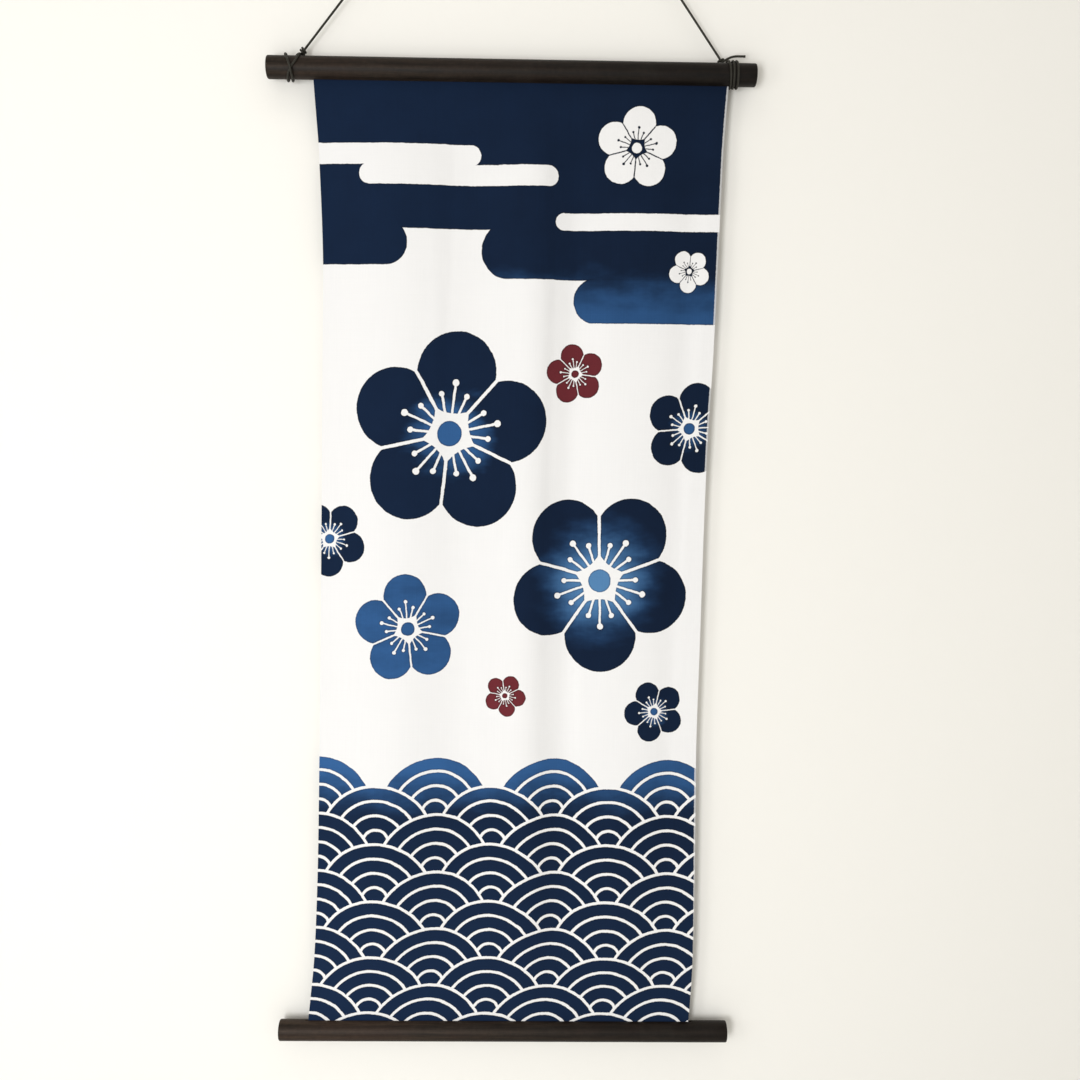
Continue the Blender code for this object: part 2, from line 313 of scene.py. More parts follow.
# Stage
WALL_PLACE = 0.0152
WALL_HALF_WIDTH = 1.6
WALL_TOP = 0.9
FLOOR_DROP = 1.62
FLOOR_SIZE = 8.0
WALL_TOOTH = 420.0
FLOOR_TOOTH = 160.0
AIR_COLOUR = (1.0, 0.97, 0.90, 1.0)

# Lights, power: the setting that holds it, aim: the point that the light faces
LIGHTS = table(
    ("name", "power", "place", "aim", "size", "colour"),
    ("window", "window_power", (-0.62, -1.9, -0.78), (0.0, 0.0, -0.62), (0.42, 0.85), (0.98, 0.99, 1.0)),
    ("side", "side_power", (-0.95, -1.1, -0.70), (0.0, 0.0, -0.70), (0.35, 0.9), (0.98, 0.99, 1.0)),
    ("fill", "fill_power", (-0.32, -1.58, -1.44), (0.0, 0.0, -0.75), (1.2, 0.3), (0.90, 0.97, 1.0)),
    ("ceiling", "ceiling_power", (0.0, -0.9, 0.95), (0.0, 0.0, -0.15), (1.4, 0.35), (1.0, 0.98, 0.93)),
)


class TowelSettings(bpy.types.PropertyGroup):
    """Sizes and colours of the cloth."""

    thickness: FloatProperty(
        name="Thickness", description="Thickness of the cotton", default=0.0005, unit="LENGTH", precision=4
    )
    thread_pitch: FloatProperty(
        name="Thread pitch", description="Distance from thread to thread, in millimetres", default=0.50
    )
    ground: FloatVectorProperty(
        name="Undyed", description="Colour of the undyed cotton",
        default=(0.810, 0.803, 0.805), subtype="COLOR",
    )
    navy: FloatVectorProperty(
        name="Navy", description="Colour of the darkest dye",
        default=(0.0042, 0.0120, 0.0335), subtype="COLOR",
    )
    mid_blue: FloatVectorProperty(
        name="Mid blue", description="Colour of the shaded-off dye",
        default=(0.026, 0.088, 0.230), subtype="COLOR",
    )
    light_blue: FloatVectorProperty(
        name="Light blue", description="Palest blue of the shading",
        default=(0.085, 0.215, 0.420), subtype="COLOR",
    )
    dark_red: FloatVectorProperty(
        name="Dark red", description="Colour of the small blossoms",
        default=(0.125, 0.020, 0.026), subtype="COLOR",
    )


class BarSettings(bpy.types.PropertyGroup):
    """Shape and stain of the bars."""

    sides: IntProperty(name="Sides", description="Faces round a bar", default=96, min=24)
    rim: FloatProperty(
        name="Rim", description="Width of the eased rim",
        default=0.0014, unit="LENGTH", precision=4,
    )
    unevenness: FloatProperty(
        name="Unevenness", description="How far the rod strays from round",
        default=0.00012, unit="LENGTH", precision=5,
    )
    stain_dark: FloatVectorProperty(
        name="Stain in the grain", description="Darkest stain",
        default=(0.0060, 0.0040, 0.0028), subtype="COLOR",
    )
    stain_light: FloatVectorProperty(
        name="Stain between", description="Stain between the grain",
        default=(0.0210, 0.0138, 0.0092), subtype="COLOR",
    )


class CordSettings(bpy.types.PropertyGroup):
    """Shape and colour of the cord."""

    sides: IntProperty(name="Sides", description="Faces round the cord", default=14, min=8)
    step: FloatProperty(
        name="Step", description="Length of a face along the cord", default=0.0008, unit="LENGTH", precision=4
    )
    # Painted shade in the grooves between the plies
    dark: FloatVectorProperty(
        name="Dark", description="Colour between the plies", default=(0.006, 0.005, 0.0035), subtype="COLOR"
    )
    light: FloatVectorProperty(
        name="Light", description="Colour on the plies", default=(0.027, 0.024, 0.015), subtype="COLOR"
    )


class StageSettings(bpy.types.PropertyGroup):
    """Wall, floor and lights."""

    wall: FloatVectorProperty(
        name="Wall", description="Wall paint",
        default=(0.88, 0.862, 0.822), subtype="COLOR",
    )
    floor: FloatVectorProperty(name="Floor", description="Floor", default=(0.78, 0.77, 0.74), subtype="COLOR")
    window_power: FloatProperty(
        name="Window light", description="Power of the soft light on the left", default=17.9, unit="POWER"
    )
    side_power: FloatProperty(
        name="Side light", description="Power of the light further round to the left",
        default=2.9, unit="POWER",
    )
    fill_power: FloatProperty(
        name="Fill", description="Power of the cooler light from below",
        default=1.5, unit="POWER",
    )
    ceiling_power: FloatProperty(
        name="Ceiling light", description="Power of the warm light from above", default=2.0, unit="POWER"
    )
    air: FloatProperty(name="Air", description="Strength of the light from all round", default=0.59)


class Term:
    """A number that a node puts out, so that a formula in nodes reads like one in Python."""

    def __init__(self, desk, socket):
        self.desk = desk
        self.socket = socket

    def __add__(self, other):
        return self.desk.math("ADD", self, other)

    def __sub__(self, other):
        return self.desk.math("SUBTRACT", self, other)

    def __rsub__(self, other):
        return self.desk.math("SUBTRACT", other, self)

    def __mul__(self, other):
        return self.desk.math("MULTIPLY", self, other)

    def __truediv__(self, other):
        return self.desk.math("DIVIDE", self, other)

    def __neg__(self):
        return self.desk.math("MULTIPLY", self, -1.0)

    def __abs__(self):
        return self.desk.math("ABSOLUTE", self)

    __radd__ = __add__
    __rmul__ = __mul__


class Desk:
    """Adds nodes to one tree, feeds their sockets and keeps them in rows."""

    columns = 24

    def __init__(self, tree):
        self.tree = tree
        self.count = 0

    def add(self, kind, **settings):
        node = self.tree.nodes.new(kind)
        node.location = (180.0 * (self.count % self.columns), -220.0 * (self.count // self.columns))
        self.count += 1
        for name, value in settings.items():
            setattr(node, name, value)
        return node

    def feed(self, socket, value):
        if isinstance(value, Term):
            value = value.socket
        if isinstance(value, bpy.types.NodeSocket):
            self.tree.links.new(value, socket)
        elif socket.type == "RGBA":
            socket.default_value = (*value, 1.0)
        else:
            socket.default_value = value

    def math(self, operation, *values):
        node = self.add("ShaderNodeMath", operation=operation)
        for socket, value in zip(node.inputs, values):
            self.feed(socket, value)
        return Term(self, node.outputs[0])

    def least(self, *values):
        result = values[0]
        for value in values[1:]:
            result = self.math("MINIMUM", result, value)
        return result

    def most(self, *values):
        result = values[0]
        for value in values[1:]:
            result = self.math("MAXIMUM", result, value)
        return result

    def length(self, across, down):
        return self.math("SQRT", across * across + down * down)

    def wrap(self, value, low, high):
        return self.math("WRAP", value, high, low)

    def rise(self, value, low, high):
        """0 below low, 1 above high and smooth between."""
        node = self.add("ShaderNodeMapRange", interpolation_type="SMOOTHSTEP")
        self.feed(node.inputs["Value"], value)
        self.feed(node.inputs["From Min"], low)
        self.feed(node.inputs["From Max"], high)
        return Term(self, node.outputs["Result"])

    def mix(self, share, first, second):
        node = self.add("ShaderNodeMix", data_type="RGBA")
        self.feed(node.inputs["Factor"], share)
        # The node has sockets for each kind of data, and 6 and 7 are its two colours
        self.feed(node.inputs[6], first)
        self.feed(node.inputs[7], second)
        return node.outputs[2]

    def scale(self, colour, amount):
        """The same colour, lighter or darker."""
        node = self.add("ShaderNodeVectorMath", operation="SCALE")
        self.feed(node.inputs[0], colour)
        self.feed(node.inputs["Scale"], amount)
        return node.outputs[0]

    def axes(self, place):
        """The three coordinates of a place."""
        node = self.add("ShaderNodeSeparateXYZ")
        self.feed(node.inputs[0], place)
        return [Term(self, socket) for socket in node.outputs]

    def vector(self, across, down, depth=0.0):
        node = self.add("ShaderNodeCombineXYZ")
        for socket, value in zip(node.inputs, (across, down, depth)):
            self.feed(socket, value)
        return node.outputs[0]

    def noise(self, place, scale, detail=2.0, roughness=0.5):
        node = self.add("ShaderNodeTexNoise")
        self.feed(node.inputs["Vector"], place)
        node.inputs["Scale"].default_value = scale
        node.inputs["Detail"].default_value = detail
        node.inputs["Roughness"].default_value = roughness
        return Term(self, node.outputs[0])

    def group(self, name, **given):
        node = self.add("ShaderNodeGroup")
        node.node_tree = bpy.data.node_groups[name]
        for label, value in given.items():
            self.feed(node.inputs[label.replace("_", " ")], value)
        return {socket.name: Term(self, socket) for socket in node.outputs}


def new_group(name, inputs, outputs):
    """A group of number sockets; gives its desk, its inputs as terms and its output node."""
    tree = bpy.data.node_groups.new(name, "ShaderNodeTree")
    for label in inputs:
        tree.interface.new_socket(label, in_out="INPUT", socket_type="NodeSocketFloat")
    for label in outputs:
        tree.interface.new_socket(label, in_out="OUTPUT", socket_type="NodeSocketFloat")
    desk = Desk(tree)
    source = desk.add("NodeGroupInput")
    given = {label: Term(desk, source.outputs[label]) for label in inputs}
    return desk, given, desk.add("NodeGroupOutput")


def new_material(name):
    material = bpy.data.materials.new(name)
    material.use_nodes = True
    return Desk(material.node_tree), material.node_tree.nodes["Principled BSDF"], material


def add_bump(desk, shader, height, strength, distance):
    bump = desk.add("ShaderNodeBump")
    bump.inputs["Strength"].default_value = strength
    bump.inputs["Distance"].default_value = distance
    desk.feed(bump.inputs["Height"], height)
    desk.feed(shader.inputs["Normal"], bump.outputs["Normal"])


def make_blossom_group():
    """A five-petalled plum blossom: distances to its petals and to its undyed marks, in millimetres."""
    labels = ("Across", "Down", "Centre Across", "Centre Down", "Radius", "Turn")
    desk, given, result = new_group("plum_blossom", labels, ("Petals", "Marks", "Reach"))
    radius = given["Radius"]
    across = given["Across"] - given["Centre Across"]
    down = given["Down"] - given["Centre Down"]
    far = desk.length(across, down)
    half_petal = math.pi / 5
    angle = desk.math("ARCTAN2", down, across) + given["Turn"]
    folded = abs(desk.wrap(angle, -half_petal, half_petal))
    along = far * desk.math("COSINE", folded)
    aside = far * desk.math("SINE", folded)
    petals = desk.least(desk.length(along - radius * 0.6, aside) - radius * 0.4, far - radius * 0.125)

    def stamen(turn, start, end, half_width, head):
        way, side = math.cos(turn), math.sin(turn)
        foot = desk.most(desk.least(along * way + aside * side, radius * end), radius * start)
        stalk = desk.length(along - foot * way, aside - foot * side) - radius * half_width
        tip = desk.length(along - radius * (end * way), aside - radius * (end * side)) - radius * head
        return desk.least(stalk, tip)

    parting = abs(along * math.sin(half_petal) - aside * math.cos(half_petal)) - radius * 0.016
    parting = desk.most(parting, radius * 0.16 - far)
    middle = stamen(0.0, 0.20, 0.50, 0.012, 0.034)
    side = stamen(half_petal * 0.52, 0.20, 0.40, 0.012, 0.028)
    desk.feed(result.inputs["Petals"], petals)
    desk.feed(result.inputs["Marks"], desk.least(parting, middle, side))
    desk.feed(result.inputs["Reach"], far / radius)


def make_mist_group():
    """A level band with round ends: the distance to its edge, in millimetres."""
    labels = ("Across", "Down", "From", "To", "Level", "Half")
    desk, given, result = new_group("mist_band", labels, ("Distance",))
    middle = (given["From"] + given["To"]) * 0.5
    straight = (given["To"] - given["From"]) * 0.5 - given["Half"]
    beyond = desk.most(abs(given["Across"] - middle) - straight, 0.0)
    away = desk.length(beyond, given["Down"] - given["Level"])
    desk.feed(result.inputs["Distance"], away - given["Half"])


def make_wave_group():
    """Rows of overlapping ringed scales: distances to the field's edge and its undyed lines."""
    labels = ("Across", "Down", "Top", "Radius", "Ring", "Line")
    desk, given, result = new_group("wave_scales", labels, ("Field", "Lines"))
    radius = given["Radius"]
    step = radius * 0.5
    below = given["Down"] - given["Top"] - radius
    row = desk.math("FLOOR", below / step)

    def scale(behind):
        """The nearest scale in a row that lies in front or behind: distance to its middle, and its mask."""
        number = row + behind
        shift = desk.math("MODULO", abs(number), 2.0) * radius
        aside = desk.wrap(given["Across"] + shift, -1.0 * radius, radius)
        far = desk.length(aside, below - number * step)
        return far, desk.math("LESS_THAN", far, radius) * desk.math("GREATER_THAN", number, -0.5)

    far, covered = scale(0.0)
    for behind in (1.0, 2.0):
        nearer, inside = scale(behind)
        far = far + inside * (nearer - far)
        covered = desk.most(covered, inside)
    half_line = given["Line"] * 0.5
    beat = abs(desk.wrap(far + half_line, given["Ring"] * -0.5, given["Ring"] * 0.5))
    beat = beat * desk.math("LESS_THAN", far, radius - half_line)
    desk.feed(result.inputs["Field"], (0.5 - covered) * 8.0)
    desk.feed(result.inputs["Lines"], desk.most(beat - half_line, given["Ring"] * 0.5 - far))


def make_weave_group():
    """Plain weave: the height of its threads and how their thickness and colour vary."""
    desk, given, result = new_group("plain_weave", ("Across", "Down", "Pitch"), ("Height", "Streaks"))
    across, down = given["Across"], given["Down"]
    turn = desk.math("DIVIDE", math.pi, given["Pitch"])
    warp = desk.math("SINE", across * turn)
    weft = desk.math("SINE", down * turn)
    threads = abs(warp) * 0.5 + abs(weft) * 0.5
    over = warp * weft
    upright = desk.noise(desk.vector(across * 1.3, down * 0.016), 1.0, 3.0, 0.6)
    level = desk.noise(desk.vector(across * 0.018, down * 1.3, 4.0), 1.0, 3.0, 0.6)
    streaks = upright * 0.6 + level * 0.4
    desk.feed(result.inputs["Height"], threads + over * 0.35 + streaks * 0.8)
    desk.feed(result.inputs["Streaks"], streaks)


def make_dust_group():
    """Soft uneven wear and dust over a dark surface, 0 where clean and 1 where palest."""
    desk = Desk(bpy.data.node_groups.new("dust", "ShaderNodeTree"))
    tree = desk.tree
    tree.interface.new_socket("Place", in_out="INPUT", socket_type="NodeSocketVector")
    tree.interface.new_socket("Amount", in_out="INPUT", socket_type="NodeSocketFloat")
    tree.interface.new_socket("Dust", in_out="OUTPUT", socket_type="NodeSocketFloat")
    source = desk.add("NodeGroupInput")
    clouds = desk.noise(source.outputs["Place"], 55.0, 4.0, 0.65)
    specks = desk.noise(source.outputs["Place"], 900.0, 2.0, 0.5)
    dust = desk.rise(clouds, 0.42, 0.78) * 0.7 + desk.rise(specks, 0.62, 0.78) * 0.3
    result = desk.add("NodeGroupOutput")
    desk.feed(result.inputs["Dust"], dust * Term(desk, source.outputs["Amount"]))


def band_distance(desk, across, down, band):
    """Distance to the edge of a band of mist, in millimetres."""
    found = desk.group(
        "mist_band", Across=across, Down=down,
        From=band["from"], To=band["to"], Level=band["level"], Half=band["half"],
    )
    return found["Distance"]


def dyed_shapes(desk, across, down):
    """Distance to the nearest dyed edge, negative where dyed, and each dyed blossom's sockets."""
    sky = down - SKY_FOOT
    for band in DARK_MIST:
        sky = desk.least(sky, band_distance(desk, across, down, band))
    for band in PALE_MIST:
        sky = desk.most(sky, -band_distance(desk, across, down, band))
    waves = desk.group(
        "wave_scales", Across=across, Down=down, Top=WAVE_TOP, Radius=WAVE_RADIUS,
        Ring=WAVE_RADIUS / WAVE_RINGS, Line=WAVE_LINE,
    )
    dyed = desk.least(sky, desk.most(waves["Field"], -waves["Lines"]))
    blossoms = []
    for row in BLOSSOMS:
        found = desk.group(
            "plum_blossom", Across=across, Down=down, Centre_Across=row["across"], Centre_Down=row["down"],
            Radius=row["radius"], Turn=math.radians(row["turn"]),
        )
        if row["dye"] == "white":
            dyed = desk.least(desk.most(dyed, -found["Petals"]), desk.most(found["Petals"], found["Marks"]))
        else:
            dyed = desk.least(dyed, desk.most(found["Petals"], -found["Marks"]))
            blossoms.append((row["dye"], found))
    return dyed, blossoms


def make_cotton(settings):
    """White cotton dyed through in navy, shaded blues and dark red, paler at the foot, with painted light
    that makes the dye paler on the left.
    """
    desk, shader, material = new_material("cotton")
    place = desk.axes(desk.add("ShaderNodeUVMap", uv_map="cloth").outputs["UV"])
    across = place[0] * (CLOTH_WIDTH / MILLIMETRE)
    down = place[1] * (CLOTH_LENGTH / MILLIMETRE) - TUCK / MILLIMETRE
    plain_place = desk.vector(across, down)

    tremble = desk.noise(plain_place, 0.11, 3.0, 0.6) - 0.5
    fine_tremble = desk.noise(desk.vector(down, across, 7.0), 0.55, 2.0, 0.5) - 0.5
    shaken_across = across + tremble * 1.6 + fine_tremble * 0.5
    shaken_down = down + tremble * -1.3 + fine_tremble * 0.5
    dyed, blossoms = dyed_shapes(desk, shaken_across, shaken_down)
    woven_edge = SELVEDGE * (1.0 - desk.rise(down, SELVEDGE_FADE, VISIBLE_LENGTH / MILLIMETRE))
    from_edge = CLOTH_WIDTH / MILLIMETRE - across + fine_tremble * 0.8
    selvedge = 1.0 - desk.rise(from_edge - woven_edge, -0.5, 0.0)

    clouds = desk.noise(plain_place, 0.030, 3.0, 0.55) - 0.5
    pour = desk.noise(desk.vector(across * 0.5, down, 3.0), 0.045, 3.0, 0.6) - 0.5
    poured_down = down + pour * 46.0
    shading = desk.rise(poured_down, *MIST_SHADE) * (1.0 - desk.rise(down, MIST_FOOT, MIST_FOOT + 1.0)) * 0.85
    wave_shade = desk.rise(down, WAVE_TOP - 6.0, WAVE_TOP)
    wave_shade = wave_shade * (0.9 - desk.rise(poured_down - WAVE_TOP, *WAVE_SHADE) * 0.9)
    shading = desk.most(shading, wave_shade)
    red = None
    pale = None
    for dye, found in blossoms:
        near = 1.0 - desk.rise(found["Reach"], 1.06, 1.10)
        if dye == "mid":
            shading = desk.most(shading, near * (0.78 + pour * 0.8))
        elif dye == "red":
            red = near if red is None else desk.most(red, near)
        else:
            middle = 1.0 - desk.rise(found["Reach"] + pour * 0.5, 0.16, 0.80 if dye == "shaded" else 0.50)
            shading = desk.most(shading, near * middle)
            if dye == "shaded":
                pale = near * (1.0 - desk.rise(found["Reach"] + pour * 0.4, 0.10, 0.62))

    blue = desk.mix(shading, settings.navy, settings.mid_blue)
    blue = desk.mix(pale, blue, settings.light_blue)
    dye = desk.mix(red, blue, settings.dark_red)
    weave = desk.group("plain_weave", Across=across, Down=down, Pitch=settings.thread_pitch)
    streaks = weave["Streaks"] - 0.5
    brim = desk.rise(dyed, -1.5, -0.3) * 0.42
    faded = desk.rise(down, DYE_FADE, VISIBLE_LENGTH / MILLIMETRE) * 0.42
    # Painted light: the dye is made paler on the left and darker on the right, as the window light falls off
    # across the cloth
    painted_light_from_left = 0.20 - desk.rise(across, 0.0, CLOTH_WIDTH / MILLIMETRE) * 0.30
    deep = 1.0 - brim + clouds * 0.32 + streaks * 0.42 + faded + painted_light_from_left
    tone = desk.scale(dye, deep)
    ground = desk.scale(settings.ground, 1.0 + streaks * 0.09 + clouds * 0.02)
    soaked = (1.0 - desk.rise(dyed + streaks * 0.7, -0.28, 0.28)) * (1.0 - selvedge * 0.60)
    colour = desk.mix(soaked, ground, tone)
    desk.feed(shader.inputs["Base Color"], colour)
    desk.feed(shader.inputs["Roughness"], 0.86 + streaks * 0.16)
    shader.inputs["Specular IOR Level"].default_value = 0.08
    shader.inputs["Sheen Weight"].default_value = 0.02
    shader.inputs["Sheen Roughness"].default_value = 0.55
    add_bump(desk, shader, weave["Height"], 0.35, 0.00012)
    return material


def make_stained_wood(settings):
    """Straight-grained wood under a near black stain, with painted light that makes it paler towards its left
    end and on the lower bar.
    """
    desk, shader, material = new_material("stained_wood")
    place = desk.add("ShaderNodeTexCoord").outputs["Object"]
    along, back, up = desk.axes(place)
    drawn = desk.vector(along * 0.035, back, up)
    fibres = desk.noise(drawn, 1500.0, 4.0, 0.65)
    bands = desk.noise(desk.vector(along * 0.05, back, up), 240.0, 3.0, 0.6)
    rings = desk.length(back + 0.031, (up + bands * 0.006) * 0.6)
    beat = abs(desk.wrap(rings * 560.0, -1.0, 1.0))
    grain = fibres * 0.55 + beat * 0.20 + bands * 0.25
    dust = desk.group("dust", Place=place, Amount=0.35)
    stain = desk.mix(desk.rise(grain, 0.30, 0.72), settings.stain_dark, settings.stain_light)
    patchy = desk.noise(desk.vector(along * 0.4, back, up), 60.0, 2.0, 0.5)
    stain = desk.mix(desk.rise(patchy, 0.35, 0.75) * 0.35, stain, PATCH_STAIN)
    mottle = desk.noise(place, 230.0, 3.0, 0.7)
    # Painted light: the lower bar's stain is made lighter, as more of the window light falls on it
    lower_bar = 1.0 - desk.rise(up, BOTTOM_BAR.z, TOP_BAR.z)
    # Painted light: the stain is made paler towards the left end and darker to the right, as the window light
    # falls off along the bars
    painted_light_along_bar = 1.36 - desk.rise(along, TOP_LOW.x, TOP_HIGH.x) * 0.98
    tone = desk.scale(stain, (0.45 + mottle * 1.1 + lower_bar * 0.6) * painted_light_along_bar)
    colour = desk.mix(dust["Dust"] * 0.10, tone, BAR_DUST)
    desk.feed(shader.inputs["Base Color"], colour)
    desk.feed(shader.inputs["Roughness"], 0.42 + grain * 0.14 + dust["Dust"] * 0.2)
    shader.inputs["Specular IOR Level"].default_value = 0.15
    add_bump(desk, shader, grain + fibres * 0.5, 0.30, 0.0002)
    return material


def make_waxed_cord(settings):
    """Dark braided cord: slanting plies both ways round, a little waxy on their crowns, with painted shade
    between the plies.
    """
    desk, shader, material = new_material("waxed_cord")
    place = desk.axes(desk.add("ShaderNodeUVMap", uv_map="cord").outputs["UV"])
    round_it = place[0] * PLIES_ROUND
    along = place[1] / PLY_LENGTH
    left_ply = abs(desk.math("SINE", (round_it + along) * math.pi))
    right_ply = abs(desk.math("SINE", (round_it - along) * math.pi))
    braid = desk.least(left_ply, right_ply) * 0.5 + desk.most(left_ply, right_ply) * 0.5
    object_place = desk.add("ShaderNodeTexCoord").outputs["Object"]
    fuzz = desk.noise(object_place, 2600.0, 3.0, 0.6)
    dust = desk.group("dust", Place=object_place, Amount=0.5)
    # Painted shade: the cord's colour on the ply crowns turns dark in the grooves between the plies
    colour = desk.mix(desk.rise(braid + fuzz * 0.3, 0.45, 1.05), settings.dark, settings.light)
    colour = desk.mix(dust["Dust"] * 0.10, colour, CORD_DUST)
    desk.feed(shader.inputs["Base Color"], colour)
    desk.feed(shader.inputs["Roughness"], 0.62 + fuzz * 0.2 - braid * 0.08)
    shader.inputs["Specular IOR Level"].default_value = 0.4
    add_bump(desk, shader, braid + fuzz * 0.25, 0.55, 0.00018)
    return material


def make_paint(name, colour, grain):
    """Matt paint with a faint tooth, for the wall and the floor."""
    desk, shader, material = new_material(name)
    place = desk.add("ShaderNodeTexCoord").outputs["Object"]
    tooth = desk.noise(place, grain, 3.0, 0.6)
    broad = desk.noise(place, 1.1, 2.0, 0.5)
    desk.feed(shader.inputs["Base Color"], desk.scale(colour, 0.985 + broad * 0.03))
    shader.inputs["Roughness"].default_value = 0.92
    shader.inputs["Specular IOR Level"].default_value = 0.15
    add_bump(desk, shader, tooth, 0.12, 0.0004)
    return desk, shader, material


def make_wall_paint(settings):
    """The wall's paint, which is clear from behind so that the towel's back can be seen."""
    desk, shader, material = make_paint("wall_paint", settings.wall, WALL_TOOTH)
    clear = desk.add("ShaderNodeBsdfTransparent")
    blend = desk.add("ShaderNodeMixShader")
    desk.feed(blend.inputs[0], desk.add("ShaderNodeNewGeometry").outputs["Backfacing"])
    desk.feed(blend.inputs[1], shader.outputs[0])
    desk.feed(blend.inputs[2], clear.outputs[0])
    desk.feed(material.node_tree.nodes["Material Output"].inputs["Surface"], blend.outputs[0])
    return material


def smooth_between(rows, key, column, at):
    """Read a column of a table at any place, on a smooth curve through its rows."""
    last = len(rows) - 1
    step = 0
    while step < last - 1 and rows[step + 1][key] < at:
        step += 1

    def slope(index):
        low = rows[max(index - 1, 0)]
        high = rows[min(index + 1, last)]
        return (high[column] - low[column]) / (high[key] - low[key])

    start, end = rows[step], rows[step + 1]
    span = end[key] - start[key]
    share = min(max((at - start[key]) / span, 0.0), 1.0)
    rise = slope(step) * span * share * (1 - share) ** 2
    fall = slope(step + 1) * span * share * share * (1 - share)
    ease = share * share * (3 - 2 * share)
    return start[column] + (end[column] - start[column]) * ease + rise - fall


def fade(distance, length):
    """Grow smoothly from 0 at a bar to 1 once the cloth hangs free of it."""
    share = min(max(distance / length, 0.0), 1.0)
    return share * share * (3 - 2 * share)


def bell(value, spread):
    return math.exp(-0.5 * (value / spread) ** 2)


def fold_depth(across, down):
    """How far the cloth stands towards the viewer, summed over its folds and fine creases."""
    depth = 0.0
    for fold in FOLDS:
        middle = fold["across"] + fold["drift"] * down / VISIBLE_LENGTH
        ends = fade(down, fold["top"]) * fade(VISIBLE_LENGTH - down, fold["foot"])
        depth += fold["rise"] * bell(across - middle, fold["spread"]) * ends
    held = fade(down, HELD_LENGTH) * fade(VISIBLE_LENGTH - down, HELD_LENGTH)
    for crease in CREASES:
        run = (down - crease["middle"]) / crease["reach"]
        if abs(run) < 3.0:
            middle = crease["across"] + crease["lean"] * run
            depth += crease["rise"] * bell(across - middle, crease["spread"]) * bell(run, 1.0) * held
    return depth


def cloth_point(across, down):
    """Place of a point of the cloth, from its share of the width and its distance down."""
    hung = min(max(down, 0.0), VISIBLE_LENGTH)
    middle = TOP_BAR.x + TOP_MIDDLE + (BOTTOM_MIDDLE - TOP_MIDDLE) * hung / VISIBLE_LENGTH
    left = middle - CLOTH_WIDTH / 2 + smooth_between(DRAW_IN, "down", "left", hung)
    right = middle + CLOTH_WIDTH / 2 - smooth_between(DRAW_IN, "down", "right", hung)
    return Vector((left + (right - left) * across, -fold_depth(across, hung), CLOTH_TOP - down))


def object_mode():
    if bpy.context.mode != "OBJECT":
        bpy.ops.object.mode_set(mode="OBJECT")


def deselect_all():
    object_mode()
    bpy.ops.object.select_all(action="DESELECT")


def made_object(name):
    """The object that the last operator added, under its own name and placed in its mesh."""
    piece = bpy.context.active_object
    piece.name = name
    piece.data.name = name
    bpy.ops.object.transform_apply(location=True, rotation=True, scale=True)
    return piece


def finish_piece(piece, material, node):
    """Give the piece its finish, let it ride, and hide the plain solid that it stands for."""
    piece.data.materials.clear()
    piece.data.materials.append(material)
    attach(piece, BODY)
    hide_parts(node)


def apply_modifiers(piece):
    bpy.context.view_layer.objects.active = piece
    for modifier in list(piece.modifiers):
        bpy.ops.object.modifier_apply(modifier=modifier.name)


class TENUGUI_OT_cloth(bpy.types.Operator):
    """Hang the dyed cotton in its soft upright folds"""

    bl_idname = "tenugui.cloth"
    bl_label = "Cloth"

    def execute(self, context):
        settings = context.scene.tenugui_towel
        deselect_all()
        bpy.ops.mesh.primitive_grid_add(x_subdivisions=STEPS_ACROSS, y_subdivisions=STEPS_DOWN, size=1.0)
        cloth = made_object("towel_cloth")
        mesh = cloth.data
        shares = [(point.co.x + 0.5, 0.5 - point.co.y) for point in mesh.vertices]
        uv_map = mesh.uv_layers.active
        uv_map.name = "cloth"
        for corner in mesh.loops:
            uv_map.data[corner.index].uv = shares[corner.vertex_index]
        for point, (across, share) in zip(mesh.vertices, shares):
            point.co = cloth_point(across, share * CLOTH_LENGTH - TUCK)
        wall = cloth.modifiers.new("thickness", "SOLIDIFY")
        wall.thickness = settings.thickness
        wall.offset = 0.0
        apply_modifiers(cloth)
        bpy.ops.object.shade_smooth_by_angle(angle=math.radians(60))
        finish_piece(cloth, make_cotton(settings), "cloth")
        return {"FINISHED"}


def select_edges(mesh, chosen):
    """Select the edges whose two places along X pass the test."""
    for edge in mesh.edges:
        edge.select = chosen(*(mesh.vertices[index].co.x for index in edge.vertices))


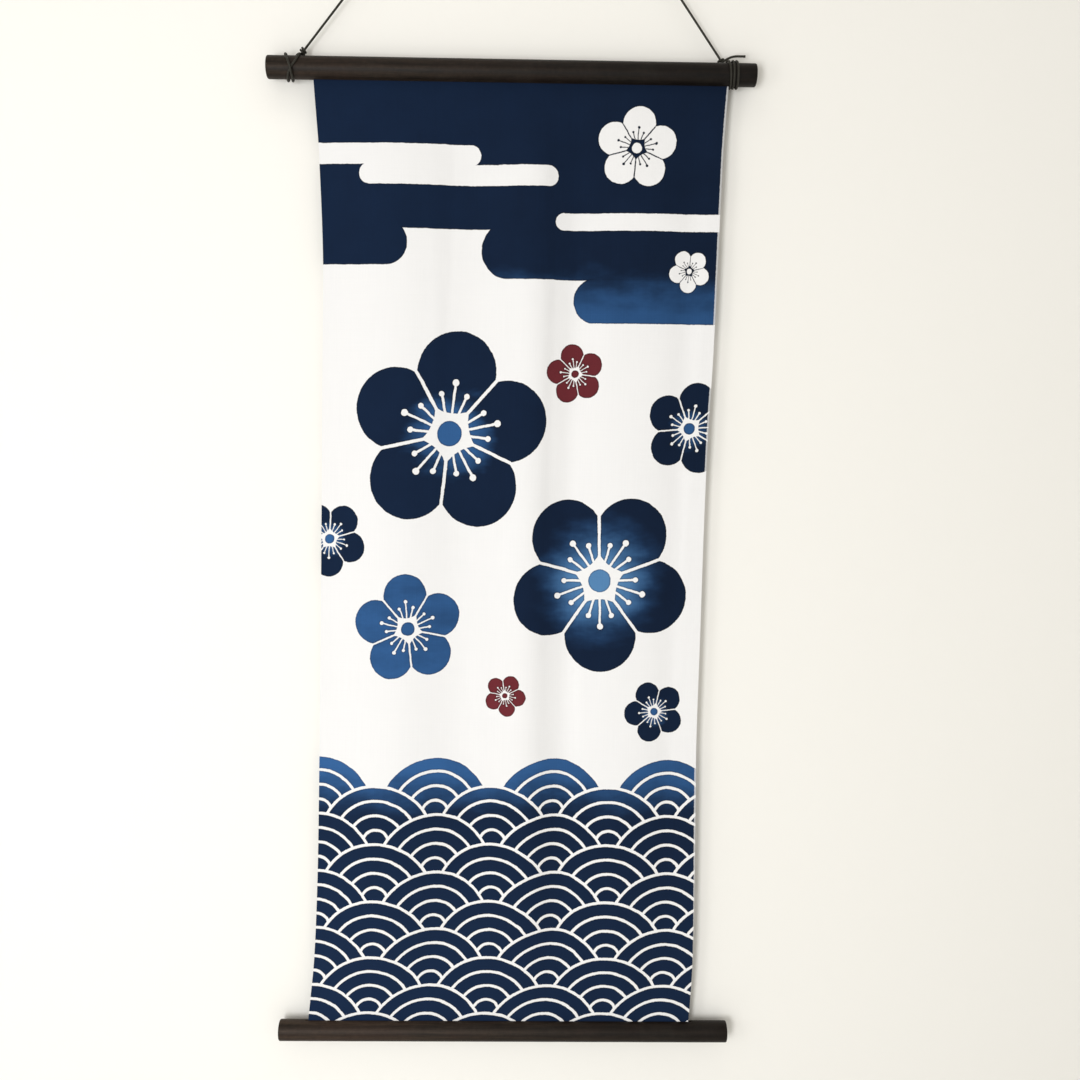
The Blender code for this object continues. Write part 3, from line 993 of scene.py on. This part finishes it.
def turned_rod(name, place, settings, seed):
    """A round rod with eased rims that is a little uneven along its length."""
    deselect_all()
    bpy.ops.mesh.primitive_cylinder_add(
        vertices=settings.sides, radius=BAR_RADIUS, depth=BAR_LENGTH, rotation=(0.0, math.pi / 2, 0.0)
    )
    rod = made_object(name)
    end = BAR_LENGTH / 2

    def on_rim(first, second):
        return abs(abs(first) - end) < CLEARANCE and abs(first - second) < CLEARANCE

    def lengthwise(first, second):
        return abs(first - second) > end

    bpy.ops.object.mode_set(mode="EDIT")
    bpy.ops.mesh.select_mode(type="EDGE")
    bpy.ops.mesh.select_all(action="DESELECT")
    bpy.ops.object.mode_set(mode="OBJECT")
    select_edges(rod.data, on_rim)
    bpy.ops.object.mode_set(mode="EDIT")
    bpy.ops.mesh.bevel(offset=settings.rim, segments=3, affect="EDGES")
    bpy.ops.mesh.select_all(action="DESELECT")
    bpy.ops.object.mode_set(mode="OBJECT")
    select_edges(rod.data, lengthwise)
    bpy.ops.object.mode_set(mode="EDIT")
    bpy.ops.mesh.subdivide(number_cuts=ROD_CUTS)
    bpy.ops.object.mode_set(mode="OBJECT")
    for point in rod.data.vertices:
        sway = noise.noise(Vector((point.co.x * 22.0, seed, 0.0)))
        dent = noise.noise(Vector((point.co.x * 60.0, point.co.y * 90.0 + seed, point.co.z * 90.0)))
        swell = 1.0 - settings.unevenness / BAR_RADIUS * (0.5 + 0.3 * sway + 0.4 * dent)
        point.co.y *= swell
        point.co.z *= swell
    rod.location = place
    bpy.ops.object.transform_apply(location=True, rotation=True, scale=True)
    return rod


def cut_slot(rod, place, middle, side):
    """Cut the slot that holds the cloth's end; side is -1 under the rod and +1 on top of it."""
    deselect_all()
    centre = place + Vector((middle, 0.0, side * BAR_RADIUS))
    size = (SLOT_LENGTH, SLOT_WIDTH, 2 * SLOT_DEPTH)
    bpy.ops.mesh.primitive_cube_add(size=1.0, location=centre, scale=size)
    cutter = made_object("slot_cutter")
    cut = rod.modifiers.new("slot", "BOOLEAN")
    cut.operation = "DIFFERENCE"
    cut.solver = "EXACT"
    cut.object = cutter
    deselect_all()
    rod.select_set(True)
    apply_modifiers(rod)
    bpy.data.objects.remove(cutter, do_unlink=True)


class TENUGUI_OT_bars(bpy.types.Operator):
    """Turn the two stained bars and slot them for the cloth's ends"""

    bl_idname = "tenugui.bars"
    bl_label = "Bars"

    def execute(self, context):
        settings = context.scene.tenugui_bars
        wood = make_stained_wood(settings)
        for row in BARS:
            rod = turned_rod(row["name"], row["place"], settings, row["seed"])
            cut_slot(rod, row["place"], row["middle"], row["side"])
            bpy.ops.object.shade_smooth_by_angle(angle=math.radians(32))
            finish_piece(rod, wood, row["node"])
        return {"FINISHED"}


def on_bar(turn, across, reach):
    """A point round the upper bar, from its middle and axis."""
    angle = math.radians(turn)
    return Vector((across, -reach * math.sin(angle), reach * math.cos(angle)))


def coil(start, along, first, second, turns):
    """Turns of the cord round its own leg, from the side `first` towards the side `second`."""
    points = []
    for step in range(round(turns * COIL_STEPS) + 1):
        turn = step / COIL_STEPS
        angle = 2 * math.pi * turn
        side = first * math.cos(angle) + second * math.sin(angle)
        points.append(start + along * (COIL_PITCH * turn) + side * COIL_RADIUS)
    return points


def lashing(rows):
    """Points round the upper bar, read from a lashing's table at even steps of its turn."""
    first, last = rows[0]["turn"], rows[-1]["turn"]
    steps = math.ceil((last - first) / LASHING_STEP)
    points = []
    for step in range(steps + 1):
        turn = first + (last - first) * step / steps
        across = smooth_between(rows, "turn", "across", turn)
        reach = smooth_between(rows, "turn", "reach", turn)
        points.append(TOP_BAR + on_bar(turn, across, reach))
    return points


def return_points(rows):
    return [TOP_BAR + on_bar(row["turn"], row["across"], row["reach"]) for row in rows]


def tail_points():
    return [TOP_BAR + Vector((row["across"], row["back"], row["up"])) for row in TAIL]


def peg_arc(left_way, right_way):
    """The cord's bend over the peg, from the left leg's direction to the right leg's."""
    centre = Vector((0.0, 0.0, CORD_RADIUS - PEG_BEND))
    left_angle = math.atan2(left_way.z, left_way.x) + math.pi / 2
    right_angle = math.atan2(right_way.z, right_way.x) - math.pi / 2
    points = []
    for step in range(PEG_STEPS + 1):
        angle = left_angle + (right_angle - left_angle) * step / PEG_STEPS
        points.append(centre + Vector((math.cos(angle), 0.0, math.sin(angle))) * PEG_BEND)
    return points


def cord_route():
    """The cord's centre line, from its hidden end on the left to the free tail on the right."""
    left_foot = TOP_BAR + LEFT_LEG_FOOT
    right_foot = TOP_BAR + RIGHT_LEG_FOOT
    left_way = -left_foot.normalized()
    right_way = -right_foot.normalized()
    back = Vector((0.0, 1.0, 0.0))

    left_coil = coil(left_foot, left_way, back, back.cross(left_way), LEFT_COIL_TURNS)
    left_end = [left_foot] + lashing(LEFT_LASHING) + return_points(LEFT_RETURN) + left_coil

    knot_top = right_foot + right_way * (COIL_PITCH * RIGHT_COIL_TURNS)
    right_coil = coil(knot_top, -right_way, back, right_way.cross(back), RIGHT_COIL_TURNS)
    right_end = [right_foot] + lashing(RIGHT_LASHING) + return_points(RIGHT_RETURN)
    right_end += right_coil + tail_points()

    return list(reversed(left_end)) + peg_arc(left_way, right_way) + right_end


def with_short_steps(points, longest):
    """The same line with points added along its long straight stretches."""
    result = [points[0]]
    for start, end in zip(points, points[1:]):
        count = max(1, math.ceil((end - start).length / longest))
        result += [start.lerp(end, step / count) for step in range(1, count + 1)]
    return result


def smooth_point(before, start, end, after, share):
    """A point on the smooth curve from start to end, whose neighbours are before and after."""
    slope = end - before
    bow = before * 2 - start * 5 + end * 4 - after
    twist = start * 3 - before - end * 3 + after
    return (start * 2 + slope * share + bow * share ** 2 + twist * share ** 3) / 2


def smooth_line(points, step):
    """Points a step apart on a smooth curve through the given ones."""
    padded = [points[0] * 2 - points[1]] + points + [points[-1] * 2 - points[-2]]
    result = [points[0].copy()]
    for four in zip(padded, padded[1:], padded[2:], padded[3:]):
        count = max(1, round((four[2] - four[1]).length / step))
        result += [smooth_point(*four, index / count) for index in range(1, count + 1)]
    return result


def sweep_tube(name, line, radius_at, sides):
    """A closed tube along a line, with a map of its turns across and its length along."""
    turn_step = 2 * math.pi / sides
    side = Vector((0.0, 1.0, 0.0))
    points, lengths, far = [], [], 0.0
    for index, place in enumerate(line):
        way = (line[min(index + 1, len(line) - 1)] - line[max(index - 1, 0)]).normalized()
        side = (side - way * side.dot(way)).normalized()
        other = way.cross(side)
        if index:
            far += (place - line[index - 1]).length
        lengths.append(far)
        radius = radius_at(far)
        for step in range(sides):
            turn = step * turn_step
            points.append(place + (side * math.cos(turn) + other * math.sin(turn)) * radius)
    faces, maps = [], []
    for index in range(len(line) - 1):
        for step in range(sides):
            after = (step + 1) % sides
            low, high = index * sides, (index + 1) * sides
            faces.append((low + step, low + after, high + after, high + step))
            left, right = step / sides, (step + 1) / sides
            near, far_end = lengths[index], lengths[index + 1]
            maps.append(((left, near), (right, near), (right, far_end), (left, far_end)))
    first_cap = tuple(reversed(range(sides)))
    last_cap = tuple(range((len(line) - 1) * sides, len(line) * sides))
    for cap, length in ((first_cap, 0.0), (last_cap, far)):
        faces.append(cap)
        maps.append([(0.5, length)] * sides)
    mesh = bpy.data.meshes.new(name)
    mesh.from_pydata(points, [], faces)
    uv_map = mesh.uv_layers.new(name="cord")
    for face, corners in zip(mesh.polygons, maps):
        for corner, uv in zip(face.loop_indices, corners):
            uv_map.data[corner].uv = uv
    tube = bpy.data.objects.new(name, mesh)
    bpy.context.scene.collection.objects.link(tube)
    return tube


class TENUGUI_OT_cord(bpy.types.Operator):
    """Tie the hanging cord round the upper bar and lead it over its peg"""

    bl_idname = "tenugui.cord"
    bl_label = "Hanging cord"

    def execute(self, context):
        settings = context.scene.tenugui_cord
        line = smooth_line(with_short_steps(cord_route(), STRAIGHT_STEP), settings.step)
        whole = sum((end - start).length for start, end in zip(line, line[1:]))

        def radius_at(far):
            lump = noise.noise(Vector((far * 190.0, 0.0, 5.0)))
            swell = fade(far - (whole - CUT_END), CUT_END) * CUT_END_SWELL
            return CORD_RADIUS * (1.0 + CORD_LUMPS * lump + swell)

        deselect_all()
        cord = sweep_tube("tied_cord", line, radius_at, settings.sides)
        cord.select_set(True)
        context.view_layer.objects.active = cord
        bpy.ops.object.shade_smooth_by_angle(angle=math.radians(50))
        finish_piece(cord, make_waxed_cord(settings), "hanging_cord")
        return {"FINISHED"}


def add_area_light(row, power):
    data = bpy.data.lights.new(row["name"], "AREA")
    data.shape = "RECTANGLE"
    data.size, data.size_y = row["size"]
    data.energy = power
    data.color = row["colour"]
    lamp = bpy.data.objects.new(row["name"], data)
    lamp.location = row["place"]
    way = Vector(row["aim"]) - Vector(row["place"])
    lamp.rotation_euler = way.to_track_quat("-Z", "Y").to_euler()
    bpy.context.scene.collection.objects.link(lamp)


def add_camera():
    forward = Vector((
        math.sin(CAMERA_YAW) * math.cos(CAMERA_TILT),
        math.cos(CAMERA_YAW) * math.cos(CAMERA_TILT),
        -math.sin(CAMERA_TILT),
    ))
    level = forward.cross(Vector((0.0, 0.0, 1.0))).normalized()
    upright = level.cross(forward)
    right = level * math.cos(CAMERA_ROLL) + upright * math.sin(CAMERA_ROLL)
    up = upright * math.cos(CAMERA_ROLL) - level * math.sin(CAMERA_ROLL)
    data = bpy.data.cameras.new("view")
    data.lens = LENS
    data.sensor_width = SENSOR
    data.sensor_fit = "HORIZONTAL"
    camera = bpy.data.objects.new("view", data)
    turned = Matrix((right, up, -forward)).transposed().to_4x4()
    camera.matrix_world = Matrix.Translation(CAMERA_PLACE) @ turned
    bpy.context.scene.collection.objects.link(camera)
    bpy.context.scene.camera = camera


def add_plane(name, size, place, rotation, material):
    deselect_all()
    bpy.ops.mesh.primitive_plane_add(size=1.0, location=place, rotation=rotation)
    plane = bpy.context.active_object
    plane.scale = (*size, 1.0)
    plane = made_object(name)
    plane.data.materials.append(material)
    return plane


class TENUGUI_OT_stage(bpy.types.Operator):
    """Set the plain wall and floor, the soft lights, strongest from the left, and the camera"""

    bl_idname = "tenugui.stage"
    bl_label = "Stage"

    def execute(self, context):
        settings = context.scene.tenugui_stage
        wall_size = (2 * WALL_HALF_WIDTH, WALL_TOP + FLOOR_DROP)
        wall_middle = (TOP_BAR.x, WALL_PLACE, (WALL_TOP - FLOOR_DROP) / 2)
        upright = (math.pi / 2, 0.0, 0.0)
        wall = add_plane("wall", wall_size, wall_middle, upright, make_wall_paint(settings))
        # The light from all round reaches the towel's back as if the wall weren't there
        wall.visible_diffuse = False
        floor_paint = make_paint("floor_paint", settings.floor, FLOOR_TOOTH)[2]
        floor_size = (FLOOR_SIZE, FLOOR_SIZE)
        add_plane("floor", floor_size, (0.0, 0.0, -FLOOR_DROP), (0.0, 0.0, 0.0), floor_paint)
        for row in LIGHTS:
            add_area_light(row, getattr(settings, row["power"]))
        world = bpy.data.worlds.new("air")
        world.use_nodes = True
        background = world.node_tree.nodes["Background"]
        background.inputs["Color"].default_value = AIR_COLOUR
        background.inputs["Strength"].default_value = settings.air
        context.scene.world = world
        context.scene.view_settings.view_transform = "Standard"
        add_camera()
        return {"FINISHED"}


class TENUGUI_PT_pieces(bpy.types.Panel):
    """Lists the pieces of the hanging and the stage"""

    bl_idname = "TENUGUI_PT_pieces"
    bl_label = "Tenugui towel"
    bl_space_type = "VIEW_3D"
    bl_region_type = "UI"
    bl_category = "Tenugui"

    def draw(self, context):
        for settings_name in SETTINGS:
            box = self.layout.box()
            settings = getattr(context.scene, settings_name)
            for name in settings.bl_rna.properties.keys():
                if name not in ("rna_type", "name"):
                    box.prop(settings, name)
        for operator in OPERATORS:
            self.layout.operator(operator.bl_idname)


SETTINGS = {
    "tenugui_towel": TowelSettings,
    "tenugui_bars": BarSettings,
    "tenugui_cord": CordSettings,
    "tenugui_stage": StageSettings,
}
OPERATORS = (TENUGUI_OT_stage, TENUGUI_OT_cord, TENUGUI_OT_bars, TENUGUI_OT_cloth)


def register():
    for name, settings in SETTINGS.items():
        bpy.utils.register_class(settings)
        setattr(bpy.types.Scene, name, PointerProperty(type=settings))
    for operator in OPERATORS:
        bpy.utils.register_class(operator)
    bpy.utils.register_class(TENUGUI_PT_pieces)


def unregister():
    bpy.utils.unregister_class(TENUGUI_PT_pieces)
    for operator in reversed(OPERATORS):
        bpy.utils.unregister_class(operator)
    for name, settings in SETTINGS.items():
        delattr(bpy.types.Scene, name)
        bpy.utils.unregister_class(settings)


def main():
    register()
    make_blossom_group()
    make_mist_group()
    make_wave_group()
    make_weave_group()
    make_dust_group()
    bpy.ops.tenugui.stage()
    bpy.ops.tenugui.cord()
    bpy.ops.tenugui.bars()
    bpy.ops.tenugui.cloth()


if __name__ == "__main__":
    main()
